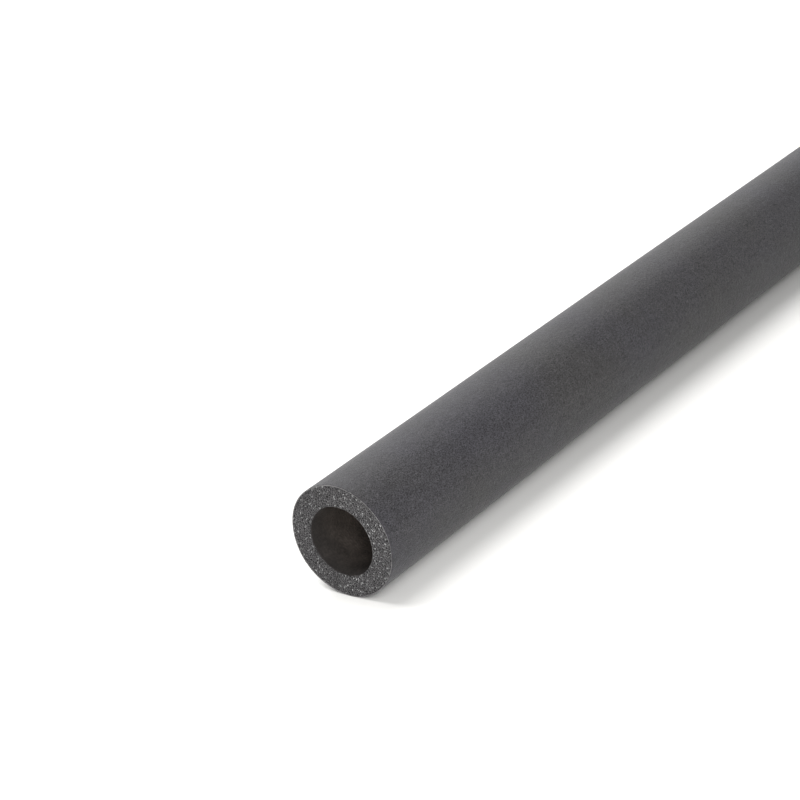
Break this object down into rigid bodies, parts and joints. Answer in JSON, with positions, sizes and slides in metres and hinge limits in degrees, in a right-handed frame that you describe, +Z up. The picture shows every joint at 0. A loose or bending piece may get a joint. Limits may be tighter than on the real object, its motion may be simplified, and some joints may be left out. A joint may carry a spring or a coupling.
{
  "type": "pipe insulation tube",
  "caption": "Straight length of dark grey closed-cell rubber foam tube that slides over a pipe as lagging, with cut flat ends.",
  "frame": {"origin": "middle of the tube's length, on the bore's axis", "axes": "+X along the bore, from one cut end to the other; +Z up as the tube lies on a floor"},
  "size_m": [1, 0.047, 0.047],
  "materials": {
    "foam": "matt, fine closed-cell foam with a thin smooth skin outside and in the bore"
  },
  "bodies": {
    "root": {"foam_tube": "foam"}
  },
  "joints": []
}
